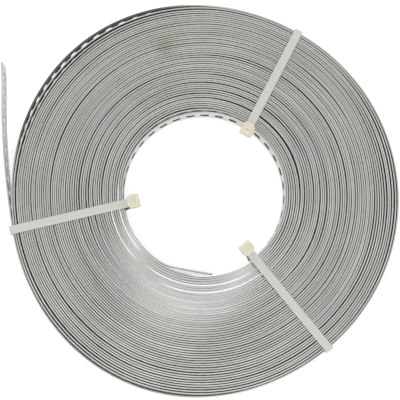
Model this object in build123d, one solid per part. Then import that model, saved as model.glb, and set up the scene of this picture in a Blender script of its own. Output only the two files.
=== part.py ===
from build123d import *
import os
from math import cos, degrees, hypot, pi, radians, sin, sqrt

# Perforated mounting strap: one long punched steel strip wound into a flat roll, held by
# three nylon cable ties. Millimetres, +Z up, origin on the coil's axis at the floor.
# Angles run anticlockwise from +X, seen from above. The strip winds inwards anticlockwise.

# The strip
strap_width = 12.0
strap_thickness = 0.75
hole_diameter = 5.2
hole_pitch = 8.5
end_margin = 8.0
end_corner = 1.2

# The winding: the ties squeeze it, and it lifts a little from each tie to the next
turns = 52
coil_radius = 111.0
bore_radius = 45.8
bore_shift_x = -0.9
bore_shift_y = 2.3
left_tie_angle = 189.8
lower_tie_angle = 309.0
upper_tie_angle = 420.6
lower_left_lift = 3.2
right_lift = 0.5
upper_left_lift = 4.3

# Stretches where the outermost and innermost turns stand loose
upper_gap = 2.4
upper_gap_start = 446.0
upper_gap_end = 534.0
lower_gap = 0.7
lower_gap_start = 208.0
lower_gap_end = 286.0
inner_gap = 0.7
inner_gap_start = 48.0
inner_gap_end = 168.0

# Wider gaps between turns, which show as lines on the ends, counted in turns from outside
open_gaps = (4, 10, 17, 23, 29, 35, 41, 47)
gap_width = 1.2
gap_depth = 1.6
gap_sides = 44

# The loose outer end: it kinks out from the rim, straightens, and flicks out at its tip
tail_angle = 187.8
tail_kink = 2.0
tail_length = 77.0
tail_bend = -9.8
flick_length = 17.0
flick_bend = 6.0

# The free inner end: it kinks in from the bore's wall and runs on nearly straight
inner_end_angle = 238.5
kink_length = 3.0
kink_bend = 19.0
inner_end_length = 25.0
inner_end_bend = 4.0

# The cable ties: lean is each band's turn from the coil's radius, and reach is how far its
# head's slot stands inside the bore
left_tie_lean = 3.4
lower_tie_lean = 0.2
upper_tie_lean = 1.9
left_tie_reach = 5.9
lower_tie_reach = 6.6
upper_tie_reach = 2.2
tie_width = 4.8
tie_thickness = 1.2
tie_bend = 1.4
tie_slack = 0.35
head_length = 7.3
head_width = 7.5
head_height = 5.0
head_round = 1.2
head_shoulder = 1.6
head_chamfer = 0.4
slot_clearance = 0.4
pawl_width = 3.6
pawl_low = 1.2
pawl_high = 3.6
pawl_bite = 0.1
stub_height = 0.9

# Worked out from the sizes above
turn_pitch = (coil_radius - bore_radius) / turns
strap_top = tie_thickness + strap_width
strap_middle = tie_thickness + strap_width / 2
coil_centre = Vector(0, 0, 0)
bore_centre = Vector(bore_shift_x, bore_shift_y, 0)
tail_runs = ((tail_length, tail_bend), (flick_length, flick_bend))
inner_end_runs = ((kink_length, kink_bend), (inner_end_length, inner_end_bend))
tie_angles = (left_tie_angle, lower_tie_angle, upper_tie_angle)
turn_lifts = (lower_left_lift, right_lift, upper_left_lift)
ties = {
    "cable_tie_left": (left_tie_angle, left_tie_lean, left_tie_reach),
    "cable_tie_lower_right": (lower_tie_angle, lower_tie_lean, lower_tie_reach),
    "cable_tie_upper_right": (upper_tie_angle, upper_tie_lean, upper_tie_reach),
}
fuse_overlap = 1.5
punch_relief = 0.1
punch_rise = 0.5
punch_sides = 10


def outer_radius(angle):
    """The outermost turn's outer face: one turn's pitch smaller after one turn, and lifted
    between the ties."""
    radius = coil_radius - turn_pitch * (angle - tail_angle) / 360
    stops = tie_angles + (tie_angles[0] + 360,)
    for start, end, lift in zip(stops, stops[1:], turn_lifts):
        if start < angle < end:
            radius += lift * sin(pi * (angle - start) / (end - start)) ** 2
    return radius


def inner_radius(angle):
    """The innermost turn's bore face, about the bore's own centre."""
    return bore_radius + turn_pitch * (inner_end_angle - angle) / 360


def polar(angle, radius=1.0, centre=coil_centre):
    """The point at an angle and a radius about a centre, in plan."""
    return centre + Vector(cos(radians(angle)), sin(radians(angle)), 0) * radius


def joint_point(angle, radius, centre):
    """Where two flats of a turn meet: so far out that each flat touches the turn at its hole."""
    return polar(angle, radius / cos(hole_pitch / (2 * radius)), centre)


def turn_face(radius_at, joints, centre):
    """One full turn of the spiral, closed by the step at its start. It is flat from joint to
    joint, one hole to each flat, as the punched strip lies."""
    return make_face(Polyline(
        [joint_point(joint, radius_at(joint), centre) for joint in joints], close=True))


def loose_gap(radius_at, joints, start, end, gap, centre=coil_centre):
    """The space inside a loose stretch: it opens from nothing to its widest and closes."""
    stops = [joint for joint in joints if start <= joint <= end]
    start, end = stops[0], stops[-1]

    def far_radius(angle):
        return radius_at(angle) + gap * sin(pi * (angle - start) / (end - start))
    near = [joint_point(stop, radius_at(stop), centre) for stop in stops]
    far = [joint_point(stop, far_radius(stop), centre) for stop in stops[1:-1]]
    return make_face(Polyline(near + far[::-1], close=True))


def tail_start():
    """The loose outer end's root on the rim, and the way it heads off."""
    root = joint_point(tail_angle, outer_radius(tail_angle), coil_centre)
    return root, polar(tail_angle - 90 + tail_kink)


def inner_end_start():
    """The free inner end's root on the bore's wall, and the way it heads off."""
    root = joint_point(inner_end_angle, inner_radius(inner_end_angle), bore_centre)
    return root, polar(inner_end_angle + 90)


def free_path(start, heading, runs):
    """The face of a free end: tangent arcs from its root, each a length and a bend."""
    edges = [Line(start - heading * fuse_overlap, start)]
    for length, bend in runs:
        radius = length / radians(abs(bend))
        edges.append(JernArc(edges[-1] @ 1, edges[-1] % 1, radius, bend))
    return edges


def free_end(start, heading, runs):
    """A free end of the strip, its thickness to the right of the path, its corners round."""
    near = free_path(start, heading, runs)
    right = Vector(heading.Y, -heading.X, 0) * strap_thickness
    far = [Line(near[0] @ 0 + right, near[0] @ 1 + right)]
    for length, bend in runs:
        inside = strap_thickness if bend > 0 else -strap_thickness
        radius = length / radians(abs(bend)) + inside
        far.append(JernArc(far[-1] @ 1, far[-1] % 1, radius, bend))
    closing = [Line(near[0] @ 0, far[0] @ 0), Line(near[-1] @ 1, far[-1] @ 1)]
    strip = extrude(make_face(near + far + closing), strap_width, dir=(0, 0, 1))
    tip = (near[-1] @ 1 + far[-1] @ 1) / 2
    edges = [edge for edge in strip.edges() if abs(edge.length - strap_thickness) < 0.01]
    corners = [edge for edge in edges if hypot(edge.center().X - tip.X, edge.center().Y - tip.Y) < 0.1]
    return fillet(corners, end_corner)


def end_holes(start, heading, runs):
    """Places and outward directions of a free end's holes, from its tip to its root."""
    path = Wire(free_path(start, heading, runs)[1:])
    places, distance = [], end_margin
    while distance < path.length:
        at = path.position_at(path.length - distance, position_mode=PositionMode.LENGTH)
        along = path.tangent_at(path.length - distance, position_mode=PositionMode.LENGTH)
        places.append((at, Vector(-along.Y, along.X, 0)))
        distance += hole_pitch
    return places, distance - path.length


def turn_holes(radius_at, root, step, way):
    """Angles of the holes along one full turn, at the same pitch, way +1 or -1 round it."""
    angles, angle = [], root + way * degrees(step / radius_at(root))
    while abs(angle - root) < 360:
        angles.append(angle)
        angle += way * degrees(hole_pitch / radius_at(angle))
    return angles


def flat_joints(root, holes):
    """Where a turn's flats meet: midway between two holes, and at the turn's start and end."""
    joints = [(one + two) / 2 for one, two in zip(holes, holes[1:])]
    end = root + (360 if holes[-1] > root else -360)
    return sorted([root] + joints + [end])


def punch(place, sides):
    """The punch that cuts one hole square through the strip's thickness. Against the next
    turn it has a few flat sides, which keeps the long row of holes light; 0 is round."""
    at, outward = place
    base = at + Vector(0, 0, strap_middle) - outward * (strap_thickness + punch_relief)
    depth = strap_thickness + punch_relief + punch_rise
    if sides:
        profile = RegularPolygon(hole_diameter / 2, sides, rotation=180 / sides)
    else:
        profile = Circle(hole_diameter / 2)
    return Plane(base, x_dir=(0, 0, 1), z_dir=outward) * extrude(profile, depth)


def gap_ring(turn, height, up):
    """The V shaped line that a wider gap leaves on an end, about that turn's own centre. The
    V is swept round a ring of long flats, and its upper half stands clear of the end."""
    share = turn / turns
    radius = coil_radius + (bore_radius - coil_radius) * share
    centre = bore_centre * share + Vector(0, 0, height)
    start = polar(0, radius, centre)
    corners = [polar(360 * (side + 0.5) / gap_sides, radius / cos(pi / gap_sides), centre)
               for side in range(gap_sides)]
    section = Plane(start, x_dir=(1, 0, 0), z_dir=(0, -up, 0)) * make_face(Polyline(
        (0, -gap_depth), (gap_width, gap_depth), (-gap_width, gap_depth), close=True))
    return sweep(section, Polyline(start, *corners, start), transition=Transition.RIGHT)


def make_strap_roll():
    """The wound strip: the coil with its bore, its loose turns, both ends and its holes."""
    tail_places, step = end_holes(*tail_start(), tail_runs)
    inner_places, inner_step = end_holes(*inner_end_start(), inner_end_runs)
    rim_holes = turn_holes(outer_radius, tail_angle, step, 1)
    bore_holes = turn_holes(inner_radius, inner_end_angle, inner_step, -1)
    free_places = tail_places[:-1] + inner_places[:-1]
    coil_places = [tail_places[-1], inner_places[-1]]
    coil_places += [(polar(a, outer_radius(a)), polar(a)) for a in rim_holes]
    coil_places += [(polar(a, inner_radius(a), bore_centre), -polar(a)) for a in bore_holes]

    rim_joints = flat_joints(tail_angle, rim_holes)
    bore_joints = flat_joints(inner_end_angle, bore_holes)
    plan = turn_face(outer_radius, rim_joints, coil_centre)
    plan -= turn_face(inner_radius, bore_joints, bore_centre)
    for start, end, gap in (
            (upper_gap_start, upper_gap_end, upper_gap), (lower_gap_start, lower_gap_end, lower_gap)):
        plan -= loose_gap(lambda a: outer_radius(a) - strap_thickness, rim_joints, start, end, -gap)
    plan -= loose_gap(lambda a: inner_radius(a) + strap_thickness, bore_joints,
                      inner_gap_start, inner_gap_end, inner_gap, bore_centre)
    coil = extrude(plan, strap_width, dir=(0, 0, 1))
    coil += free_end(*tail_start(), tail_runs)
    coil += free_end(*inner_end_start(), inner_end_runs)
    coil = Pos(0, 0, tie_thickness) * coil

    cuts = [punch(place, 0) for place in free_places]
    cuts += [punch(place, punch_sides) for place in coil_places]
    for turn in open_gaps:
        cuts += [gap_ring(turn, strap_top, 1), gap_ring(turn, tie_thickness, -1)]
    return coil - cuts


def bore_turn(angle):
    """The same angle, brought within the innermost turn."""
    return (angle - inner_end_angle) % 360 + inner_end_angle - 360


def tie_frame(rim_angle, lean):
    """The upright plane along a band, X outwards from the bore's wall, Y up, and its span."""
    rim = polar(rim_angle, outer_radius(rim_angle))
    outward = polar(rim_angle + lean)
    to_rim = rim - bore_centre
    along = to_rim.dot(outward)
    off_line = to_rim.dot(to_rim) - along ** 2
    span = along - sqrt(inner_radius(bore_turn(rim_angle)) ** 2 - off_line)
    side = Vector(outward.Y, -outward.X, 0)
    return Plane(rim - outward * span, x_dir=outward, z_dir=side), span


def band_loop(span, slot_in, slot_out):
    """The band as a flat loop: under the coil, up the rim, over it and up through the slot."""
    low = -tie_slack - tie_thickness
    high = span + tie_slack + tie_thickness
    top = strap_top + tie_thickness
    loop = make_face(Polyline((low, 0), (high, 0), (high, top), (slot_in, top), close=True))
    corners = [v for v in loop.vertices() if v.Y < 1 or v.X > span]
    loop = fillet(corners, tie_bend)
    inside = make_face(Polyline(
        (-tie_slack, tie_thickness), (span + tie_slack, tie_thickness),
        (span + tie_slack, strap_top), (slot_out, strap_top), close=True))
    return extrude(loop - inside, tie_width / 2, both=True)


def tie_head():
    """The head: shoulders towards the band, a rounded front and softened top edges."""
    outline = Rectangle(head_length, head_width)
    outline = chamfer(outline.vertices().group_by(Axis.X)[-1], head_shoulder)
    outline = fillet(outline.vertices().group_by(Axis.X)[0], head_round)
    head = extrude(outline, head_height)
    return chamfer(head.faces().sort_by(Axis.Z)[-1].edges(), head_chamfer)


def make_tie(rim_angle, lean, reach):
    """One cable tie: its band, its head with the slot, the pawl, and the cut stub in it."""
    frame, span = tie_frame(rim_angle, lean)
    slot_in, slot_out = -reach - tie_thickness / 2, -reach + tie_thickness / 2
    upward = Plane((-reach, strap_top, 0), x_dir=(1, 0, 0), z_dir=(0, 1, 0))
    standing = (Align.CENTER, Align.CENTER, Align.MIN)
    slot_length = tie_thickness + 2 * slot_clearance
    slot = Box(slot_length, tie_width + 2 * slot_clearance, 2 * head_height, align=standing)
    stub = Box(tie_thickness, tie_width, head_height + stub_height, align=standing)
    root = slot_out + 2 * slot_clearance
    pawl = make_face(Polyline(
        (root, strap_top + pawl_low), (slot_out - pawl_bite, strap_top + pawl_high),
        (root, strap_top + pawl_high), close=True))
    tie = band_loop(span, slot_in, slot_out) + upward * tie_head()
    tie -= upward * slot
    tie += [upward * stub, extrude(pawl, pawl_width / 2, both=True)]
    return frame * tie


def main():
    os.makedirs("parts", exist_ok=True)
    export_step(make_strap_roll(), "parts/strap_roll.step")
    for name, (rim_angle, lean, reach) in ties.items():
        export_step(make_tie(rim_angle, lean, reach), f"parts/{name}.step")


main()
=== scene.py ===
import math

import bpy
import numpy as np
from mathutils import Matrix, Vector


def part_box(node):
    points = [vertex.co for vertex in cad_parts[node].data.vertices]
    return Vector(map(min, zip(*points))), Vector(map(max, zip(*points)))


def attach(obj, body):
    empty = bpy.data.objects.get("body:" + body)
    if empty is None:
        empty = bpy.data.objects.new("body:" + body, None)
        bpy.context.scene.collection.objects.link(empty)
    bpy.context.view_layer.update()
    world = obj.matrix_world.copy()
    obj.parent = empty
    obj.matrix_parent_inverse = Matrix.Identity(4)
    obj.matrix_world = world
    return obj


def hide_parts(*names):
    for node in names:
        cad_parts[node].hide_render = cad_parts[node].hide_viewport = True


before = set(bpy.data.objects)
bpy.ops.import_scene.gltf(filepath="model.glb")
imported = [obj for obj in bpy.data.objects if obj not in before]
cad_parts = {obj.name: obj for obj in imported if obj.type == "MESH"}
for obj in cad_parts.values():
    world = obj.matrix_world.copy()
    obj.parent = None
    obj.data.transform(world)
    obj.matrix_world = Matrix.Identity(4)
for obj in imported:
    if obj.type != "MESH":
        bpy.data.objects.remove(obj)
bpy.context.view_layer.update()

bl_info = {
    "name": "Punched strap roll",
    "version": (1, 0, 0),
    "blender": (4, 5, 0),
    "location": "View3D > Sidebar > Strap Roll",
    "description": "A flat roll of punched zinc-coated strap held by three nylon cable ties",
    "category": "Object",
}

TAU = 2 * math.pi
ROLL_NODE = "strap_roll"
STRAP_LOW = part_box(ROLL_NODE)[0].z
STRAP_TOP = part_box(ROLL_NODE)[1].z

# Each wide gap in the winding: the turn outside it, extra width, middle angle, reach each way
WIDE_GAPS = (
    (0.8, 0.00032, 5, 40), (1.2, 0.00032, 218, 35), (1.8, 0.00032, 352, 45),
    (1.9, 0.00050, 140, 75), (2.2, 0.00040, 215, 35), (2.6, 0.00032, 15, 40),
    (3.1, 0.00040, 138, 45), (3.1, 0.00032, 245, 50),
    (3.3, 0.00040, 112, 45), (3.4, 0.00032, 332, 30), (4.0, 0.00040, 5, 35),
    (5.4, 0.00032, 2, 40), (5.5, 0.00040, 307, 45), (6.2, 0.00032, 240, 35),
    (6.7, 0.00022, 30, 60), (7.4, 0.00032, 345, 40), (8.0, 0.00032, 322, 45),
    (8.1, 0.00032, 130, 50), (8.8, 0.00040, 228, 55), (9.2, 0.00032, 350, 30),
    (12.4, 0.00022, 95, 30), (13.2, 0.00022, 44, 20), (15.6, 0.00022, 215, 30),
    (17.8, 0.00022, 150, 30), (18.8, 0.00022, 228, 50), (20.5, 0.00022, 335, 35),
    (22.5, 0.00032, 50, 40), (23, 0.00032, 15, 45), (24, 0.00032, 75, 30),
    (25.2, 0.00032, 10, 40), (25.4, 0.00032, 330, 40), (25.7, 0.00032, 215, 45),
    (28.7, 0.00032, 170, 35), (30.1, 0.00032, 215, 45), (30.8, 0.00032, 130, 40),
    (31.2, 0.00032, 172, 35), (31.2, 0.00032, 355, 30), (32.5, 0.00032, 45, 50),
    (33, 0.00032, 75, 30), (34.5, 0.00032, 200, 35), (34.8, 0.00040, 335, 50),
    (35.4, 0.00032, 165, 40), (36.7, 0.00032, 200, 35), (37, 0.00032, 78, 40),
    (37.4, 0.00032, 10, 35), (38.2, 0.00040, 135, 40), (39, 0.00032, 38, 30),
    (40.1, 0.00040, 55, 45), (40.5, 0.00032, 160, 35), (41.9, 0.00040, 335, 55),
    (42.2, 0.00032, 105, 40), (43.2, 0.00050, 45, 55), (44, 0.00032, 15, 30),
    (45.2, 0.00032, 345, 35), (46.0, 0.00032, 30, 45), (46.4, 0.00040, 142, 35),
    (47.4, 0.00032, 337, 30), (48.6, 0.00040, 108, 40),
)
# Turns whose slit edge carries a painted highlight or is darker: turns in from the rim,
# middle angle, reach each way, and a tone from -1 to 1, the painted highlight above 0 and
# darker below 0
EDGE_HIGHLIGHTS = (
    (49.8, 283, 28, 0.9), (46.6, 266, 42, 0.9), (43.3, 276, 38, 0.9), (48.7, 196, 28, 1.0),
    (45.0, 203, 22, 0.8), (36.6, 268, 22, 0.4), (34.0, 268, 20, 0.4), (39.4, 262, 26, 0.3),
    (0.9, 132, 42, -0.7), (0.2, 235, 45, -0.3),
)
# Patches of painted shade on the slit edges across the roll's face: the middle's X and Y,
# reach, and share of the gaps' colour
SHADED_PATCHES = (
    (-0.082, 0.012, 0.050, 0.05), (-0.048, -0.042, 0.046, 0.17), (0.004, -0.064, 0.040, 0.11))
# Groups of turns that stand high or low: first and last turn, height, middle angle, reach
TELESCOPED = (
    (46.8, 52.0, -0.0008, 265, 62), (43.1, 46.8, -0.0003, 262, 60),
    (38.0, 43.1, 0.0002, 255, 60), (49.9, 52.0, -0.0005, 285, 40),
)
# Where the outermost and the innermost turn come loose: middle angle and reach each way
UPPER_LOOSE = (130, 44)
LOWER_LOOSE = (247, 39)
INNER_LOOSE = (108, 60)
# The free ends from their roots: the length of each run and its bend in degrees
TAIL_RUNS = ((0.077, -9.8), (0.017, 6))
INNER_END_RUNS = ((0.003, 19), (0.025, 4))
# How dark the loose outer gap's faces and the bore's wall at the lower left are, and where:
# middle angle and reach each way
LOOSE_SHADE = 0.25
LOOSE_FACES = (130, 50)
WALL_SHADE = 0.62
WALL_FACES = (203, 48)
# How far each way from a tie's middle the strip is held level, in degrees
HELD_REACH = 12
# The stain's middle, in X and Y
STAIN_PLACE = (-0.0229, 0.0874)
# The strip's unevenness: waves for each turn wound, and their size
SPACING_WAVES = ((0.43, 0.00005), (0.31, 0.00005), (0.237, 0.00004), (0.127, 0.00006))
HEIGHT_WAVES = ((0.46, 0.00008), (0.37, 0.00007), (0.21, 0.00006), (0.083, 0.00006))


class StrapSettings(bpy.types.PropertyGroup):
    """Sizes of the strip and of its winding."""
    width: bpy.props.FloatProperty(
        name="Strip width", description="Width of the strip", default=0.012, unit="LENGTH")
    thickness: bpy.props.FloatProperty(
        name="Strip thickness", description="Thickness of the strip", default=0.00075,
        unit="LENGTH")
    hole_diameter: bpy.props.FloatProperty(
        name="Hole diameter", description="Diameter of each punched hole", default=0.0052,
        unit="LENGTH")
    hole_pitch: bpy.props.FloatProperty(
        name="Hole pitch", description="From one hole's centre to the next", default=0.0085,
        unit="LENGTH")
    end_margin: bpy.props.FloatProperty(
        name="End margin", description="From a cut end to its first hole's centre",
        default=0.008, unit="LENGTH")
    end_corner: bpy.props.FloatProperty(
        name="End corner", description="Radius of a cut end's corners", default=0.0012,
        unit="LENGTH")
    whole_turns: bpy.props.IntProperty(
        name="Whole turns", description="Whole turns of strip between its two ends",
        default=51)
    coil_radius: bpy.props.FloatProperty(
        name="Coil radius", description="Radius of the roll at its ties", default=0.111,
        unit="LENGTH")
    bore_radius: bpy.props.FloatProperty(
        name="Bore radius", description="Radius of the open middle", default=0.0458,
        unit="LENGTH")
    bore_shift: bpy.props.FloatVectorProperty(
        name="Bore shift", description="From the roll's axis to the middle of its bore",
        size=2, default=(-0.0009, 0.0023), unit="LENGTH")
    lifts: bpy.props.FloatVectorProperty(
        name="Lifts", description="How far the rim lifts from the left tie round to the next",
        size=3, default=(0.0032, 0.0005, 0.0043), unit="LENGTH")
    tail_angle: bpy.props.FloatProperty(
        name="Tail angle", description="Where the loose outer end leaves the rim",
        default=math.radians(187.8), subtype="ANGLE")
    tail_kink: bpy.props.FloatProperty(
        name="Tail kink", description="How sharply the loose end leaves the rim",
        default=math.radians(2.0), subtype="ANGLE")
    inner_end_angle: bpy.props.FloatProperty(
        name="Inner end angle", description="Where the free inner end leaves the bore's wall",
        default=math.radians(238.5), subtype="ANGLE")
    upper_gap: bpy.props.FloatProperty(
        name="Upper gap", description="How far the outermost turn stands off at upper left",
        default=0.0014, unit="LENGTH")
    lower_gap: bpy.props.FloatProperty(
        name="Lower gap", description="How far the outermost turn stands off at lower left",
        default=0.0007, unit="LENGTH")
    inner_gap: bpy.props.FloatProperty(
        name="Inner gap", description="How far the innermost turn stands off its neighbour",
        default=0.0007, unit="LENGTH")


class TieSettings(bpy.types.PropertyGroup):
    """Sizes and places of the cable ties."""
    angles: bpy.props.FloatVectorProperty(
        name="Tie angles", description="Where the left, lower and upper ties cross the rim",
        size=3, default=[math.radians(a) for a in (189.8, 309.0, 420.6)], subtype="EULER")
    leans: bpy.props.FloatVectorProperty(
        name="Tie leans", description="Each band's turn from the roll's radius",
        size=3, default=[math.radians(a) for a in (3.4, 0.2, 1.9)], subtype="EULER")
    reaches: bpy.props.FloatVectorProperty(
        name="Head reaches", description="How far each head's slot stands inside the bore",
        size=3, default=(0.0059, 0.0066, 0.0022), unit="LENGTH")
    width: bpy.props.FloatProperty(
        name="Band width", description="Width of a tie's band", default=0.0048, unit="LENGTH")
    thickness: bpy.props.FloatProperty(
        name="Band thickness", description="Thickness of a tie's band", default=0.0012,
        unit="LENGTH")
    slack: bpy.props.FloatProperty(
        name="Slack", description="From the strip to a tie's band", default=0.00035,
        unit="LENGTH")
    bend: bpy.props.FloatProperty(
        name="Band bend", description="Radius of a band's bends at its middle", default=0.0009,
        unit="LENGTH")
    head_length: bpy.props.FloatProperty(
        name="Head length", description="Length of a tie's head", default=0.0073,
        unit="LENGTH")
    head_width: bpy.props.FloatProperty(
        name="Head width", description="Width of a tie's head", default=0.0075, unit="LENGTH")
    head_height: bpy.props.FloatProperty(
        name="Head height", description="Height of a tie's head", default=0.005,
        unit="LENGTH")
    stub: bpy.props.FloatProperty(
        name="Stub", description="How far the cut end stands above the head", default=0.0009,
        unit="LENGTH")
    tooth_pitch: bpy.props.FloatProperty(
        name="Tooth pitch", description="From one of a band's teeth to the next",
        default=0.0011, unit="LENGTH")
    tooth_depth: bpy.props.FloatProperty(
        name="Tooth depth", description="Depth of a band's teeth", default=0.00025,
        unit="LENGTH")


class FinishSettings(bpy.types.PropertyGroup):
    """Colours of the zinc and of the nylon, and of the painted highlight and painted shade on
    the zinc.
    """
    face: bpy.props.FloatVectorProperty(
        name="Zinc face", description="Colour of the zinc on the strip's broad faces", size=3,
        subtype="COLOR", default=(0.80, 0.80, 0.77))
    weathered: bpy.props.FloatVectorProperty(
        name="Weathered face", description="Colour of the zinc on the outermost turns", size=3,
        subtype="COLOR", default=(0.62, 0.62, 0.595))
    edge: bpy.props.FloatVectorProperty(
        name="Slit edge", description="Colour of the strip's slit edges", size=3,
        subtype="COLOR", default=(0.585, 0.585, 0.555))
    dull_edge: bpy.props.FloatVectorProperty(
        name="Dull edge", description="Colour of the slit edges where they have dulled",
        size=3, subtype="COLOR", default=(0.50, 0.50, 0.475))
    # Painted highlight on the slit edges of a few turns
    highlight_edge: bpy.props.FloatVectorProperty(
        name="Bright edge", description="Colour of the brightest slit edges", size=3,
        subtype="COLOR", default=(0.86, 0.86, 0.84))
    # The colour of painted shade: on faces inside the gaps, buried faces away from their edges,
    # hole walls, broad patches of the slit edges and the darker edge stretches
    gap: bpy.props.FloatVectorProperty(
        name="Gap", description="Colour of the faces inside the widest gaps", size=3,
        subtype="COLOR", default=(0.03, 0.03, 0.03))
    stain: bpy.props.FloatVectorProperty(
        name="Stain", description="Colour of the faint yellow stain", size=3, subtype="COLOR",
        default=(0.36, 0.33, 0.22))
    band: bpy.props.FloatVectorProperty(
        name="Band", description="Colour of the nylon bands", size=3, subtype="COLOR",
        default=(0.69, 0.69, 0.64))
    head: bpy.props.FloatVectorProperty(
        name="Head", description="Colour of the thicker nylon heads", size=3,
        subtype="COLOR", default=(0.86, 0.82, 0.66))
    warm_nylon: bpy.props.FloatVectorProperty(
        name="Warm nylon", description="Colour of the heads' warmer patches", size=3,
        subtype="COLOR", default=(0.76, 0.68, 0.60))
    cloudy_nylon: bpy.props.FloatVectorProperty(
        name="Cloudy nylon", description="Colour of the nylon's cloudy patches", size=3,
        subtype="COLOR", default=(0.66, 0.68, 0.56))


class StageSettings(bpy.types.PropertyGroup):
    """The camera and the lights."""
    camera_place: bpy.props.FloatVectorProperty(
        name="Camera place", description="Where the camera hangs over the roll", size=3,
        default=(-0.015, -0.06, 0.5), unit="LENGTH")
    camera_turn: bpy.props.FloatVectorProperty(
        name="Camera turn", description="How the camera turns from looking straight down",
        size=3, default=[math.radians(a) for a in (4.229, -1.056, -0.078)], subtype="EULER")
    camera_shift: bpy.props.FloatVectorProperty(
        name="Camera shift", description="How far the picture lies off the lens's axis",
        size=2, default=(0.0133, 0.0977))
    lens: bpy.props.FloatProperty(
        name="Lens", description="Focal length in millimetres", default=77.4,
        unit="CAMERA")
    sky: bpy.props.FloatProperty(
        name="Sky", description="Strength of the even light from all round", default=0.85)
    softbox: bpy.props.FloatProperty(
        name="Softbox", description="Power of the soft light overhead, in watts", default=0.6,
        unit="POWER")
    softbox_size: bpy.props.FloatProperty(
        name="Softbox size", description="Length of the soft light's sides", default=0.4,
        unit="LENGTH")
    softbox_place: bpy.props.FloatVectorProperty(
        name="Softbox place", description="Where the soft light hangs", size=3,
        default=(0.0, -0.27, 0.9), unit="LENGTH")
    floor_reach: bpy.props.FloatProperty(
        name="Floor reach", description="From the middle of the floor to its sides",
        default=6.0, unit="LENGTH")


def arch(angle, middle, reach, power=1):
    """1 at the middle, falling as a cosine to 0 at the reach each way, to a power. The middle
    and the reach are in degrees."""
    wrapped = (angle - math.radians(middle) + math.pi) % TAU - math.pi
    return np.cos(math.pi / 2 * np.clip(wrapped / math.radians(reach), -1, 1)) ** power


def ease(way):
    """0 before 0, 1 after 1, and 3 way squared less 2 way cubed between."""
    way = np.clip(way, 0, 1)
    return way * way * (3 - 2 * way)


def step_past(turn, at):
    """0 to 1 over three tenths of a turn, halfway at the given turn."""
    return ease((turn - at) / 0.3 + 0.5)


def rim_radius(strap, tie_angles, angle):
    """The coil's radius, plus each lift times the sine squared of the way from one tie to
    the next."""
    left, lower, upper = tie_angles
    radius = np.full_like(angle, strap.coil_radius)
    for start, end, lift in zip((left, lower, upper), (lower, upper, left + TAU), strap.lifts):
        way = ((angle - start) % TAU) / (end - start)
        radius += np.where(way < 1, lift * np.sin(math.pi * way) ** 2, 0)
    return radius


def bore_wall(strap, angle):
    """The bore's wall about the roll's axis: the far crossing of a ray at that angle with a
    circle whose middle is shifted."""
    shift_x, shift_y = strap.bore_shift
    along = shift_x * np.cos(angle) + shift_y * np.sin(angle)
    return along + np.sqrt(strap.bore_radius ** 2 - (shift_x ** 2 + shift_y ** 2 - along ** 2))


def turn_there(strap, at, middle):
    """The turn nearest the given one where the strip passes the middle angle, in degrees:
    whole turns plus the angle's own share of a turn."""
    share = ((math.radians(middle) - strap.tail_angle) % TAU) / TAU
    return round(at - share) + share


def loosening(strap, angle, turn, total):
    """How far each point lies inwards of an even spiral. A gap is a step of its own width in
    the turns further in, given back evenly over all turns, within an arch of its angles."""
    inward = np.zeros_like(turn)
    for at, width, middle, reach in WIDE_GAPS:
        step = step_past(turn, turn_there(strap, at, middle) + 0.5)
        inward += width * arch(angle, middle, reach, 2) * (step - turn / total)
    behind_first = np.where(turn >= 1, 1 - (turn - 1) / (total - 1), 0)
    before_last = np.where(turn <= total - 1, turn / (total - 1), 0)
    outer_gap = strap.upper_gap * arch(angle, *UPPER_LOOSE)
    outer_gap += strap.lower_gap * arch(angle, *LOWER_LOOSE)
    inward += outer_gap * behind_first
    inward -= strap.inner_gap * arch(angle, *INNER_LOOSE) * before_last
    fade = np.minimum(turn, 1) * np.minimum(total - turn, 1)
    for number, (cycles, size) in enumerate(SPACING_WAVES):
        inward += size * fade * np.sin(TAU * cycles * turn + 1.7 * number)
    return inward


def standing(tie_angles, angle, turn):
    """How high each point stands: waves along the strip and telescoped groups of turns, all
    held level under the ties."""
    height = np.zeros_like(turn)
    for number, (cycles, size) in enumerate(HEIGHT_WAVES):
        height += size * np.sin(TAU * cycles * turn + 2.3 * number)
    for first, last, size, middle, reach in TELESCOPED:
        group = step_past(turn, first) - step_past(turn, last)
        height += size * group * arch(angle, middle, reach, 2)
    for tie in tie_angles:
        height *= 1 - arch(angle - tie, 0, HELD_REACH, 2)
    return height


def face_shade(strap, turn, depth, total):
    """How dark a broad face is: each wide gap's own arch on the two faces that look into it,
    the loose outer gap's on its two, and an arch on the bore's wall at the lower left."""
    angle = strap.tail_angle + TAU * turn
    shade = np.zeros_like(turn)
    for at, _, middle, reach in WIDE_GAPS:
        beside = turn - turn_there(strap, at, middle) - np.where(depth > 0.5, 0, 1)
        shade += (np.abs(beside) < 0.5) * np.minimum(1.4 * arch(angle, middle, reach), 1)
    loose = (turn > 0) & (turn < 2) & ((turn < 1) == (depth > 0.5))
    shade += LOOSE_SHADE * loose * arch(angle, *LOOSE_FACES)
    wall = (turn > total - 1) & (depth > 0.5)
    shade += wall * np.minimum(1.5 * arch(angle, *WALL_FACES), WALL_SHADE)
    return np.minimum(shade, 1)


def edge_highlight(strap, turn):
    """The painted highlight on the slit edges of listed turns, or where the tone is below 0 a
    darkening, fading at both ends of each turn's stretch.
    """
    angle = strap.tail_angle + TAU * turn
    tone = np.zeros_like(turn)
    for at, middle, reach, strength in EDGE_HIGHLIGHTS:
        beside = turn - turn_there(strap, at, middle)
        fading = np.minimum(2 * arch(angle, middle, reach), 1)
        tone += (np.abs(beside) < 0.5) * strength * fading
    return tone


def free_run(start, heading, runs):
    """A free end in plan: the heading turns evenly along each run, and the points add up its
    small steps."""
    pieces = 60
    steps = np.concatenate([np.full(pieces, length / pieces) for length, _ in runs])
    bends = np.concatenate([np.full(pieces, math.radians(bend) / pieces) for _, bend in runs])
    headings = heading + np.cumsum(bends) - bends / 2
    moves = np.stack([np.cos(headings), np.sin(headings)], 1) * steps[:, None]
    return start + np.cumsum(moves, 0), headings


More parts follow.
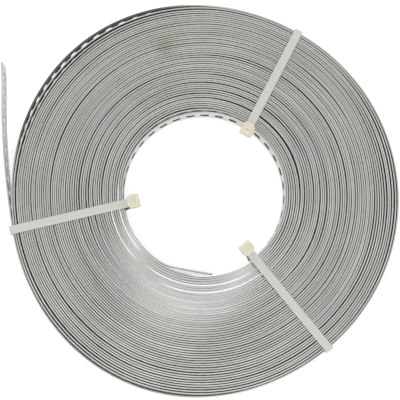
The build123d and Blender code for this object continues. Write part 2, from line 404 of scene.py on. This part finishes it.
class StrapLine:
    """The strip's outer face in plan, from the tip of its loose end, once round for each
    turn of an inward spiral, to the tip of its free inner end."""

    def __init__(self, strap, tie_angles):
        self.total = strap.whole_turns + (strap.inner_end_angle - strap.tail_angle) / TAU
        points_a_turn = 360
        turn = np.linspace(0, self.total, int(self.total * points_a_turn))
        angle = strap.tail_angle + TAU * turn
        rim, bore = rim_radius(strap, tie_angles, angle), bore_wall(strap, angle)
        pitch = (rim - bore - strap.thickness) / self.total
        radius = rim - pitch * turn - loosening(strap, angle, turn, self.total)
        outward = np.stack([np.cos(angle), np.sin(angle)], 1)
        coil = outward * radius[:, None]
        tail, _ = free_run(
            coil[0], strap.tail_angle - math.pi / 2 + strap.tail_kink, TAIL_RUNS)
        wall = coil[-1] - outward[-1] * strap.thickness
        inner, headings = free_run(
            wall, strap.inner_end_angle + math.pi / 2, INNER_END_RUNS)
        inner += np.stack([np.sin(headings), -np.cos(headings)], 1) * strap.thickness
        self.points = np.concatenate([tail[::-1], coil, inner])
        self.turn = np.concatenate([
            np.zeros(len(tail)), turn, np.full(len(inner), self.total)])
        self.height = np.concatenate([
            np.zeros(len(tail)), standing(tie_angles, angle, turn),
            np.zeros(len(inner))])
        steps = np.hypot(*np.diff(self.points, axis=0).T)
        self.along = np.concatenate([[0], np.cumsum(steps)])
        ahead = np.gradient(self.points, self.along, axis=0)
        self.outward = np.stack([ahead[:, 1], -ahead[:, 0]], 1)
        self.thickness = strap.thickness
        self.middle = STRAP_LOW + strap.width / 2

    def follow(self, along, values):
        """Values kept along the line, read at other lengths along it."""
        return np.interp(along, self.along, values)

    def place(self, along, across, depth):
        """Points of the strip: along it, across its width, and 0 to 1 through it."""
        out = np.stack([self.follow(along, self.outward[:, i]) for i in (0, 1)], -1)
        out /= np.linalg.norm(out, axis=-1, keepdims=True)
        plan = np.stack([self.follow(along, self.points[:, i]) for i in (0, 1)], -1)
        plan -= out * (self.thickness * depth)[..., None]
        level = self.middle + across + self.follow(along, self.height)
        return np.concatenate([plan, level[..., None]], -1)


def punched_cell(strap, pitch, columns, split):
    """One hole's length of strip, as (along, across, depth) points and faces. The rectangle
    has so many columns, and each of its points meets split sides of the round hole."""
    half, tall = pitch / 2, strap.width / 2
    ahead = np.linspace(half, -half, columns + 1)
    border = np.concatenate([
        [[half, 0]], np.stack([ahead, np.full(columns + 1, tall)], 1),
        [[-half, 0]], np.stack([-ahead, np.full(columns + 1, -tall)], 1)])
    count = len(border)
    sides = count * split
    turn = np.arange(sides) * TAU / sides
    ring = np.stack([np.cos(turn), np.sin(turn)], 1) * strap.hole_diameter / 2
    flat = np.concatenate([border, border, ring, ring])
    depth = np.repeat([0, 1, 0, 1], [count, count, sides, sides])
    points = np.concatenate([flat, depth[:, None]], 1)

    edge, hole = np.arange(count), 2 * count + np.arange(sides)
    next_edge, next_hole = np.roll(edge, -1), np.roll(hole, -1)
    first, last = hole[::split], next_hole[split - 1::split]
    inner_first = hole[split - 1::split]
    fronts = np.stack([inner_first, edge, next_edge, last], 1)
    backs = (fronts + np.array([sides, count, count, sides]))[:, ::-1]
    walls = np.stack([hole, next_hole, next_hole + sides, hole + sides], 1)
    rims = np.concatenate([edge[1:columns + 1], edge[columns + 3:2 * columns + 3]])
    rims = np.stack([rims + 1, rims, rims + count, rims + count + 1], 1)
    quads = np.concatenate([fronts, backs, walls, rims])
    if split == 1:
        return points, quads, np.zeros((0, 3), int)
    wedges = np.stack([first, edge, inner_first], 1)
    behind = (wedges + np.array([sides, count, sides]))[:, ::-1]
    return points, quads, np.concatenate([wedges, behind])


def cut_end(strap, start, stop, at_start):
    """The plain stretch between a cut end and its first cell: columns of three points along
    it, whose height follows the round corner, closed by a flat cap."""
    corner = strap.end_corner
    bend = np.linspace(0, math.pi / 2, 7)
    along = np.append(corner * (1 - np.cos(bend)), abs(stop - start))
    tall = strap.width / 2 - corner * (1 - np.append(np.sin(bend), 1))
    if at_start:
        along = start + along
    else:
        along, tall = (stop - along)[::-1], tall[::-1]
    columns = len(along)
    points = np.array([
        (a, side * t, depth) for depth in (0, 1) for a, t in zip(along, tall)
        for side in (1, 0, -1)])
    ahead = 3
    back = ahead * columns
    top = np.arange(columns - 1) * ahead
    mid, low = top + 1, top + 2
    fronts = np.concatenate([
        np.stack([mid, mid + ahead, top + ahead, top], 1),
        np.stack([low, low + ahead, mid + ahead, mid], 1)])
    rims = np.concatenate([
        np.stack([top, top + ahead, top + ahead + back, top + back], 1),
        np.stack([low + ahead, low, low + back, low + ahead + back], 1)])
    edge = 0 if at_start else back - ahead
    cap = np.array([
        (edge + 1, edge, edge + back, edge + 1 + back),
        (edge + 2, edge + 1, edge + 1 + back, edge + 2 + back)])
    cap = cap if at_start else cap[:, ::-1]
    return points, np.concatenate([fronts, (fronts + back)[:, ::-1], rims, cap])


def new_piece(name, points, quads, triangles=(), values=None):
    """A smooth-shaded mesh of whole arrays, with sharp edges kept. Points that round to the
    same micron merge, and the shift keeps even sizes off the rounding's halfway marks."""
    shift, sharp = 0.123, math.radians(32)
    microns = np.round(points * 1e6 + shift).astype(np.int64)
    _, first, welded = np.unique(microns, axis=0, return_index=True, return_inverse=True)
    welded = welded.ravel()
    faces = welded[quads].tolist() + [list(face) for face in welded[np.array(triangles, int)]]
    mesh = bpy.data.meshes.new(name)
    mesh.from_pydata(points[first], [], faces)
    for label, numbers in (values or {}).items():
        layer = mesh.attributes.new(label, "FLOAT", "POINT")
        layer.data.foreach_set("value", numbers[first].astype(np.float32))
    mesh.validate()
    mesh.shade_smooth()
    mesh.set_sharp_from_angle(angle=sharp)
    piece = bpy.data.objects.new(name, mesh)
    bpy.context.scene.collection.objects.link(piece)
    return piece


def wound_strap(strap, tie_angles):
    """The whole strip, one cell for each hole. The cells are finest where they show."""
    line = StrapLine(strap, tie_angles)
    length = line.along[-1]
    holes = round((length - 2 * strap.end_margin) / strap.hole_pitch) + 1
    pitch = (length - 2 * strap.end_margin) / (holes - 1)
    middles = strap.end_margin + pitch * np.arange(holes)
    turns = line.follow(middles, line.turn)
    outer_fine, inner_fine = 2.05, 2
    fine = (turns < outer_fine) | (turns > line.total - inner_fine)
    local, quads, triangles, from_hole = [], [], [], []
    count = 0
    for chosen, columns, split in ((fine, 4, 2), (~fine, 2, 1)):
        points, cell_quads, cell_triangles = punched_cell(strap, pitch, columns, split)
        moved = np.repeat(points[None], chosen.sum(), 0)
        moved[:, :, 0] += middles[chosen][:, None]
        starts = (count + np.arange(chosen.sum()) * len(points))[:, None, None]
        local.append(moved.reshape(-1, 3))
        from_hole.append(np.tile(np.hypot(*points[:, :2].T), chosen.sum()))
        quads.append((cell_quads[None] + starts).reshape(-1, 4))
        triangles.append((cell_triangles[None] + starts).reshape(-1, 3))
        count += len(points) * chosen.sum()
    plain = strap.end_margin - pitch / 2
    for start, stop, at_start in ((0, plain, True), (length - plain, length, False)):
        points, end_quads = cut_end(strap, start, stop, at_start)
        local.append(points)
        from_hole.append(np.full(len(points), strap.hole_pitch))
        quads.append(end_quads + count)
        count += len(points)
    along, across, depth = np.concatenate(local).T
    turn = line.follow(along, line.turn)
    coiled = (turn > 0) & (turn < line.total)
    buried = coiled & np.where(depth > 0.5, turn < line.total - 1, turn > 1)
    values = {
        "along": along, "turn": turn, "across": np.abs(across),
        "from_hole": np.concatenate(from_hole), "buried": buried,
        "face_shade": face_shade(strap, turn, depth, line.total),
        "edge_highlight": edge_highlight(strap, turn)}
    return new_piece(
        "punched_strap", line.place(along, across, depth), np.concatenate(quads),
        np.concatenate(triangles), values)


def rounded_path(corners, radii, steps=8):
    """A path through corners, each turned by an arc of its own radius: the arc's two ends,
    seen from its middle, mixed by the sines of the angle gone and of the angle left."""
    corners = np.array(corners, float)
    points = [corners[:1]]
    for before, corner, after, radius in zip(corners, corners[1:], corners[2:], radii):
        back, on = before - corner, after - corner
        back, on = back / np.linalg.norm(back), on / np.linalg.norm(on)
        half = math.acos(np.clip(back @ on, -1, 1)) / 2
        middle = corner + (back + on) / np.linalg.norm(back + on) * radius / math.sin(half)
        start = corner + back * radius / math.tan(half) - middle
        stop = corner + on * radius / math.tan(half) - middle
        way = np.linspace(0, 1, steps + 1)[:, None]
        bend = math.pi - 2 * half
        arc = (np.sin((1 - way) * bend) * start + np.sin(way * bend) * stop) / math.sin(bend)
        points.append(middle + arc)
    points.append(corners[-1:])
    return np.concatenate(points)


def evenly(path, step):
    """The same path, with points about a step apart, and the length along it."""
    lengths = np.concatenate([[0], np.cumsum(np.linalg.norm(np.diff(path, axis=0), axis=1))])
    along = np.linspace(0, lengths[-1], int(lengths[-1] / step) + 1)
    return np.stack([np.interp(along, lengths, path[:, i]) for i in (0, 1)], 1), along


def tube_faces(rows, columns):
    """Quads of a grid that closes round its columns, with both ends capped by a fan about an
    added point each."""
    grid = np.arange(rows * columns).reshape(rows, columns)
    ahead = np.roll(grid, -1, 1)
    quads = np.stack([grid[:-1], ahead[:-1], ahead[1:], grid[1:]], -1).reshape(-1, 4)
    start, stop = rows * columns, rows * columns + 1
    fans = [(start, b, a) for a, b in zip(grid[0], ahead[0])]
    fans += [(stop, a, b) for a, b in zip(grid[-1], ahead[-1])]
    return quads, np.array(fans)


def band_section(tie):
    """Points round the band's section, across it and through it: a rectangle with round
    corners, and points beside the teeth on its two broad sides."""
    half_width, half_thick, corner = tie.width / 2, tie.thickness / 2, 0.0003
    bend = np.linspace(0, math.pi / 2, 4)
    ring = []
    for quarter, (side_x, side_y) in enumerate(((1, 1), (-1, 1), (-1, -1), (1, -1))):
        turn = bend + quarter * math.pi / 2
        ring.append(np.stack([
            side_x * (half_width - corner) + corner * np.cos(turn),
            side_y * (half_thick - corner) + corner * np.sin(turn)], 1))
        if quarter in (0, 2):
            inset = np.array([0.68, 0.6, -0.6, -0.68]) * half_width
            ring.append(np.stack([
                side_y * inset, np.full(4, side_y * half_thick)], 1))
    return np.concatenate(ring)


def tie_band(tie, reach, span):
    """The band, a section carried round the loop: down through the slot, under the coil, up
    the rim and over to the head. Its teeth are a saw of the length along it."""
    slot_bend, foot, spacing = 0.002, 0.0006, 0.00022
    teeth_reach, head_reach = tie.width * 0.31, tie.head_length * 0.3
    low, half = -tie.slack - tie.thickness / 2, tie.thickness / 2
    high = span + tie.slack + half
    top = STRAP_TOP + half
    corners = [
        (-reach, STRAP_TOP + tie.head_height + tie.stub), (-reach, STRAP_TOP + foot),
        (low, half), (high, half), (high, top), (-reach + head_reach, top)]
    bends = (slot_bend, tie.bend, tie.bend, tie.bend)
    path, along = evenly(rounded_path(corners, bends), spacing)
    ahead = np.gradient(path, along, axis=0)
    ahead /= np.linalg.norm(ahead, axis=1, keepdims=True)
    inside = np.stack([-ahead[:, 1], ahead[:, 0]], 1)
    section = band_section(tie)
    toothed = (section[:, 1] > half * 0.99) & (np.abs(section[:, 0]) < teeth_reach)
    saw = (along / tie.tooth_pitch) % 1
    depth = section[None, :, 1] - tie.tooth_depth * toothed * saw[:, None]
    plan = path[:, None] + inside[:, None] * depth[..., None]
    across = np.repeat(section[None, :, :1], len(path), 0)
    body = np.concatenate([plan, across], -1)
    ends = np.concatenate([path[[0, -1]], np.zeros((2, 1))], 1)
    quads, fans = tube_faces(*body.shape[:2])
    return np.concatenate([body.reshape(-1, 3), ends]), quads[:, ::-1], fans[:, ::-1]


def outline(corners, radii):
    """A closed outline through corners, each with its own round, as points in order."""
    looped = [corners[-1], *corners, corners[0]]
    return rounded_path(looped, radii, steps=6)[1:-1]


def tie_head(tie, reach):
    """The head: levels of closed curves from the slot's foot, out under it, up its side and
    over its softened top edge, and down the slot again. Each level lies a share of the way
    from the slot's rectangle to the outline, less an inset."""
    long, wide, tall = tie.head_length / 2, tie.head_width / 2, tie.head_height
    shoulder, front, back, soft = 0.0016, 0.0005, 0.0012, 0.0007
    corners = [
        (long, wide - shoulder), (long - shoulder, wide), (-long, wide), (-long, -wide),
        (long - shoulder, -wide), (long, shoulder - wide)]
    edge = outline(corners, (front, front, back, back, front, front))
    reach_out = np.linalg.norm(edge, axis=1, keepdims=True)
    way = edge / reach_out
    clearance = 0.00008
    slot_size = np.array([tie.thickness / 2 + clearance, tie.width / 2 + clearance])
    slot = way * np.min(slot_size / np.maximum(np.abs(way), 1e-9), 1, keepdims=True)
    bend = np.linspace(0, math.pi / 2, 6)
    levels = [(0.0, 0.0, 0.0), (1.0, 0.0003, 0.0), (1.0, 0.0001, 0.0001), (1.0, 0.0, 0.0003)]
    levels += [
        (1.0, soft * (1 - math.cos(b)), tall - soft + soft * math.sin(b)) for b in bend]
    levels += [(0.35, 0.0, tall), (0.05, 0.0, tall), (0.0, 0.0, tall - 0.0001)]
    rings = []
    for share, inset, height in levels:
        ring = slot + (edge - way * inset - slot) * share
        rings.append(np.concatenate([ring, np.full((len(ring), 1), height)], 1))
    body = np.array(rings)
    body = np.stack([body[..., 0] - reach, body[..., 2] + STRAP_TOP, -body[..., 1]], -1)
    grid = np.arange(len(rings) * len(edge)).reshape(len(rings), len(edge))
    ahead, above = np.roll(grid, -1, 1), np.roll(grid, -1, 0)
    quads = np.stack([grid, ahead, np.roll(ahead, -1, 0), above], -1).reshape(-1, 4)
    return body.reshape(-1, 3), quads


def tie_pawl(tie, reach):
    """The pawl that holds the band in the slot: a wedge carried across it, from its root in
    the head to its tip in the band's teeth."""
    low, high, blunt, half_width, length, bite = 0.0012, 0.0036, 0.0033, 0.0018, 0.0006, 0.0001
    root = -reach + tie.thickness / 2 + length
    tip = -reach + tie.thickness / 2 - bite
    wedge = np.array([(root, low), (root, high), (tip, high), (tip, blunt)])
    across = np.linspace(-half_width, half_width, 5)
    body = np.array([[(x, STRAP_TOP + y, z) for x, y in wedge] for z in across])
    middle = body.mean(1)[[0, -1]]
    quads, fans = tube_faces(len(across), len(wedge))
    return np.concatenate([body.reshape(-1, 3), middle]), quads, fans


def nylon_tie(name, strap, tie, number):
    """One tie, worked out in its own upright plane, X outwards and Y up, and then turned to
    its place. Thicker nylon, at the head, is told from the band by the value thick."""
    angle, lean, reach = tie.angles[number], tie.leans[number], tie.reaches[number]
    turn_pitch = (strap.coil_radius - strap.bore_radius) / (strap.whole_turns + 1)
    rim = strap.coil_radius - turn_pitch * ((angle - strap.tail_angle) % TAU) / TAU
    rim *= np.array([math.cos(angle), math.sin(angle)])
    outward = np.array([math.cos(angle + lean), math.sin(angle + lean)])
    to_rim = rim - np.array(strap.bore_shift)
    along = to_rim @ outward
    inner_turn = (strap.inner_end_angle - angle) % TAU / TAU
    wall = strap.bore_radius + turn_pitch * inner_turn
    span = along - math.sqrt(wall ** 2 - (to_rim @ to_rim - along ** 2))
    origin = rim - outward * span
    side = np.array([outward[1], -outward[0]])

    band, band_quads, band_fans = tie_band(tie, reach, span)
    head, head_quads = tie_head(tie, reach)
    pawl, pawl_quads, pawl_fans = tie_pawl(tie, reach)
    to_pawl = len(band) + len(head)
    blend = 0.0006
    in_slot = ease((band[:, 1] - STRAP_TOP - tie.thickness) / blend)
    thick = np.concatenate([in_slot, np.ones(len(head)), np.ones(len(pawl))])
    flat = np.concatenate([band, head, pawl])
    plan = origin + flat[:, :1] * outward + flat[:, 2:] * side
    placed = np.concatenate([plan, flat[:, 1:2]], 1)
    quads = np.concatenate([band_quads, head_quads + len(band), pawl_quads + to_pawl])
    fans = np.concatenate([band_fans, pawl_fans + to_pawl])
    return new_piece(name, placed, quads, fans, {"thick": thick})


class Shade:
    """A socket. Sums on shades add Math nodes."""

    def __init__(self, finish, socket):
        self.finish = finish
        self.socket = socket

    def sum(self, operation, one, two):
        return self.finish.node(
            "ShaderNodeMath", {"operation": operation}, {0: one, 1: two})

    def __add__(self, other):
        return self.sum("ADD", self, other)

    def __radd__(self, other):
        return self.sum("ADD", other, self)

    def __sub__(self, other):
        return self.sum("SUBTRACT", self, other)

    def __rsub__(self, other):
        return self.sum("SUBTRACT", other, self)

    def __mul__(self, other):
        return self.sum("MULTIPLY", self, other)

    def __rmul__(self, other):
        return self.sum("MULTIPLY", other, self)


class Finish:
    """The nodes of a material or of the world."""

    def __init__(self, owner):
        self.owner = owner
        owner.use_nodes = True
        self.tree = owner.node_tree
        self.tree.nodes.clear()

    def node(self, kind, settings=None, inputs=None, output=0):
        """Adds a node, with its settings and then its values or shades, and gives one of its
        outputs where it has any."""
        made = self.tree.nodes.new(kind)
        for key, value in (settings or {}).items():
            setattr(made, key, value)
        for key, value in (inputs or {}).items():
            if isinstance(value, Shade):
                self.tree.links.new(value.socket, made.inputs[key])
            elif hasattr(value, "__len__") and len(made.inputs[key].default_value) == 4:
                made.inputs[key].default_value = (*value[:3], 1)
            else:
                made.inputs[key].default_value = value
        return Shade(self, made.outputs[output]) if made.outputs else None

    def value(self, name):
        """One of the mesh's own values."""
        return self.node("ShaderNodeAttribute", {"attribute_name": name}, output="Fac")

    def ray(self, kind):
        """1 for rays of one kind, and 0 for others."""
        return self.node("ShaderNodeLightPath", output=f"Is {kind} Ray")

    def mix(self, share, one, two):
        """Two colours mixed by a share."""
        return self.node(
            "ShaderNodeMix", {"data_type": "RGBA"}, {0: share, 6: one, 7: two}, output=2)

    def distance(self, place, point):
        """How far a place is from a point."""
        return self.node(
            "ShaderNodeVectorMath", {"operation": "DISTANCE"}, {0: place, 1: point},
            output="Value")

    def steps(self, value, low, high):
        """0 to 1 as a value goes from low to high, smoothly and clamped."""
        return self.node(
            "ShaderNodeMapRange", {"interpolation_type": "SMOOTHSTEP"},
            {"Value": value, "From Min": low, "From Max": high})

    def noise(self, vector, scale, detail, roughness=0.5):
        """Noise about 0.5 on a vector."""
        return self.node("ShaderNodeTexNoise", inputs={
            "Vector": vector, "Scale": scale, "Detail": detail, "Roughness": roughness})

    def surface(self, shader, kind="ShaderNodeOutputMaterial"):
        """Ends the nodes with the shader, and gives the material or world."""
        self.node(kind, inputs={"Surface": shader})
        return self.owner


def zinc_finish(strap, colours):
    """Zinc-coated steel. Broad faces are bright and the outermost turns' weathered, and painted
    shade darkens them away from their edges where they are buried, inside the wide gaps and in
    the holes. Slit edges are greyer, clouded along each turn, with painted highlights and
    darker stretches on a few turns, three patches of painted shade and a faint yellow stain.
    Fine rolling lines run along the strip."""
    half_width, hole_radius, border = strap.width / 2, strap.hole_diameter / 2, 0.00008
    f = Finish(bpy.data.materials.new("galvanised_strap"))
    place = f.node("ShaderNodeTexCoord", output="Object")
    along, turn, across = f.value("along"), f.value("turn"), f.value("across")
    by_turn = f.node("ShaderNodeCombineXYZ", inputs={"X": turn * 2.9, "Y": along * 26.0})
    turn_tone = f.noise(by_turn, 1.0, 1.0)
    patches = f.noise(place, 38.0, 3.0, 0.6)
    spangle = f.noise(place, 420.0, 2.0, 0.7)
    height = f.node("ShaderNodeSeparateXYZ", inputs={"Vector": place}, output="Z")
    fibres = f.node("ShaderNodeCombineXYZ", inputs={"X": along * 40.0, "Y": height * 6000.0})
    rolling = f.noise(fibres, 1.0, 3.0, 0.6)
    clouds = f.steps(turn_tone * 0.7 + patches * 0.5 + spangle * 0.25, 0.5, 0.95)

    outer = 1 - f.steps(turn, 1.2, 3.0)
    buried = f.value("buried")
    deep = 1 - f.steps(across, 0.001, 0.0055)
    tone = f.value("edge_highlight")
    face = f.mix(outer, colours.face, colours.weathered)
    face = f.mix(clouds * 0.3, face, colours.weathered)
    # painted shade on the buried faces, growing away from their edges, then face_shade's
    # painted shade in the gaps and on the bore's wall
    face = f.mix(buried * deep * 0.9, face, colours.gap)
    face = f.mix(f.value("face_shade"), face, colours.gap)
    # painted shade on the hole walls, lighter on the loose outer end
    punched = 1 - f.steps(f.value("from_hole"), hole_radius, hole_radius + border)
    face = f.mix(punched * (0.25 + f.steps(turn, 0.0, 0.01) * 0.5), face, colours.gap)
    edge = f.mix(clouds, colours.edge, colours.dull_edge)
    # painted shade on the slit edges, in broad patches
    for x, y, reach, share in SHADED_PATCHES:
        away = f.distance(place, (x, y, STRAP_TOP))
        edge = f.mix((1 - f.steps(away, 0.0, reach)) * share, edge, colours.gap)
    from_stain = f.distance(place, (*STAIN_PLACE, STRAP_TOP))
    stained = (1 - f.steps(from_stain + patches * 0.006, 0.004, 0.012)) * 0.6
    edge = f.mix(stained, edge, colours.stain)
    # painted highlight on the slit edges where the tone is above 0, and darker towards the
    # gaps' colour where it is below 0
    edge = f.mix(f.steps(tone, 0.0, 1.0), edge, colours.highlight_edge)
    edge = f.mix(f.steps(tone, 0.0, -1.0), edge, colours.gap)
    on_edge = f.steps(across, half_width - border, half_width - border / 4)
    colour = f.mix(on_edge, face, edge)
    rough = 0.26 + on_edge * 0.16 + clouds * 0.08 + rolling * 0.06
    relief = f.node("ShaderNodeBump", inputs={
        "Strength": 0.4, "Distance": 0.0002, "Height": rolling * 0.15 + spangle * 0.1})
    return f.surface(f.node("ShaderNodeBsdfPrincipled", inputs={
        "Base Color": colour, "Metallic": 1 - buried * (1 - on_edge) * 0.5,
        "Roughness": rough, "Normal": relief}))


def nylon_finish(colours):
    """Natural nylon: grey-white in the thin bands and ivory in the thick heads, with soft
    cloudy patches, a faint flow grain and a satin surface that lets some light in."""
    f = Finish(bpy.data.materials.new("natural_nylon"))
    place = f.node("ShaderNodeTexCoord", output="Object")
    thick = f.value("thick")
    cloud = f.noise(place, 260.0, 2.0, 0.5)
    warm = f.noise(place, 420.0, 1.0, 0.5)
    grain = f.noise(place, 3200.0, 2.0, 0.6)
    colour = f.mix(thick, colours.band, colours.head)
    colour = f.mix(f.steps(warm, 0.5, 0.7) * thick * 0.5, colour, colours.warm_nylon)
    colour = f.mix(f.steps(cloud, 0.4, 0.75) * 0.25, colour, colours.cloudy_nylon)
    relief = f.node("ShaderNodeBump", inputs={
        "Strength": 0.35, "Distance": 0.0001, "Height": grain + cloud})
    return f.surface(f.node("ShaderNodeBsdfPrincipled", inputs={
        "Base Color": colour, "Roughness": 0.38 + cloud * 0.14, "IOR": 1.53,
        "Subsurface Weight": 0.35, "Subsurface Radius": (0.0016, 0.0015, 0.0013),
        "Subsurface Scale": 1.0, "Normal": relief}))


def floor_finish():
    """A white floor that the camera, and anything glossy, sees as white, and that still
    takes the object's shadow."""
    f = Finish(bpy.data.materials.new("white_floor"))
    mirrored = f.ray("Glossy") + f.ray("Transmission")
    cloth = f.node("ShaderNodeBsdfDiffuse", inputs={"Color": (0.8, 0.8, 0.8)})
    glow = f.node("ShaderNodeEmission", inputs={
        "Strength": f.ray("Camera") * 0.55 + mirrored * 0.3})
    return f.surface(f.node("ShaderNodeAddShader", inputs={0: cloth, 1: glow}))


def studio_world(sky):
    """Even light of the given strength from all round, white at a strength of 1 to the camera,
    in mirrors and through glass."""
    f = Finish(bpy.data.worlds.new("studio"))
    shown = f.ray("Camera") + f.ray("Glossy") + f.ray("Transmission")
    strength = f.node("ShaderNodeMapRange", inputs={"Value": shown, "To Min": sky})
    light = f.node("ShaderNodeBackground", inputs={"Color": (1, 1, 1), "Strength": strength})
    return f.surface(light, "ShaderNodeOutputWorld")


def give(piece, material):
    """The piece's one material."""
    piece.data.materials.clear()
    piece.data.materials.append(material)


class STRAPROLL_OT_stage(bpy.types.Operator):
    """Hang the camera over the roll, light it softly and lay the white floor"""
    bl_idname = "strap_roll.stage"
    bl_label = "Set the stage"

    def execute(self, context):
        scene = context.scene
        stage = scene.strap_roll_stage
        scene.view_settings.view_transform = "Standard"
        camera = bpy.data.objects.new("camera", bpy.data.cameras.new("camera"))
        camera.location = stage.camera_place
        camera.rotation_euler = stage.camera_turn
        camera.data.shift_x, camera.data.shift_y = stage.camera_shift
        camera.data.lens = stage.lens
        camera.data.clip_start = 0.01
        scene.collection.objects.link(camera)
        scene.camera = camera

        scene.world = studio_world(stage.sky)
        lamp = bpy.data.lights.new("softbox", "AREA")
        lamp.size = stage.softbox_size
        lamp.energy = stage.softbox
        box = bpy.data.objects.new("softbox", lamp)
        box.location = stage.softbox_place
        box.rotation_mode = "QUATERNION"
        box.rotation_quaternion = box.location.to_track_quat("Z", "Y")
        scene.collection.objects.link(box)

        reach = stage.floor_reach
        grid = np.array([(x, y, 0.0) for y in (-reach, reach) for x in (-reach, reach)])
        floor = new_piece("floor", grid, np.array([(0, 1, 3, 2)]))
        give(floor, floor_finish())
        return {"FINISHED"}


class STRAPROLL_OT_strap(bpy.types.Operator):
    """Wind the punched strip, from its loose outer end to its free inner end"""
    bl_idname = "strap_roll.strap"
    bl_label = "Wind the strap"

    def execute(self, context):
        scene = context.scene
        piece = wound_strap(scene.strap_roll_strap, scene.strap_roll_ties.angles)
        give(piece, zinc_finish(scene.strap_roll_strap, scene.strap_roll_finish))
        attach(piece, "root")
        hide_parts(ROLL_NODE)
        return {"FINISHED"}


class STRAPROLL_OT_ties(bpy.types.Operator):
    """Fit the three nylon cable ties"""
    bl_idname = "strap_roll.ties"
    bl_label = "Fit the ties"

    def execute(self, context):
        scene = context.scene
        nylon = nylon_finish(scene.strap_roll_finish)
        for number, side in enumerate(("left", "lower_right", "upper_right")):
            piece = nylon_tie(
                f"nylon_tie_{side}", scene.strap_roll_strap, scene.strap_roll_ties, number)
            give(piece, nylon)
            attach(piece, "root")
            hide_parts(f"cable_tie_{side}")
        return {"FINISHED"}


class STRAPROLL_PT_panel(bpy.types.Panel):
    """The strap roll's sizes, colours and operators"""
    bl_idname = "STRAPROLL_PT_panel"
    bl_label = "Strap roll"
    bl_space_type = "VIEW_3D"
    bl_region_type = "UI"
    bl_category = "Strap Roll"

    def draw(self, context):
        for operator in (STRAPROLL_OT_stage, STRAPROLL_OT_strap, STRAPROLL_OT_ties):
            self.layout.operator(operator.bl_idname)
        for name, group in GROUPS.items():
            box = self.layout.box()
            for key in group.__annotations__:
                box.prop(getattr(context.scene, name), key)


GROUPS = {
    "strap_roll_strap": StrapSettings,
    "strap_roll_ties": TieSettings,
    "strap_roll_finish": FinishSettings,
    "strap_roll_stage": StageSettings,
}
CLASSES = (
    *GROUPS.values(), STRAPROLL_OT_stage, STRAPROLL_OT_strap, STRAPROLL_OT_ties,
    STRAPROLL_PT_panel)


def register():
    for kind in CLASSES:
        bpy.utils.register_class(kind)
    for name, group in GROUPS.items():
        setattr(bpy.types.Scene, name, bpy.props.PointerProperty(type=group))


def unregister():
    for name in GROUPS:
        delattr(bpy.types.Scene, name)
    for kind in reversed(CLASSES):
        bpy.utils.unregister_class(kind)


def main():
    register()
    bpy.ops.strap_roll.stage()
    bpy.ops.strap_roll.strap()
    bpy.ops.strap_roll.ties()


if __name__ == "__main__":
    main()
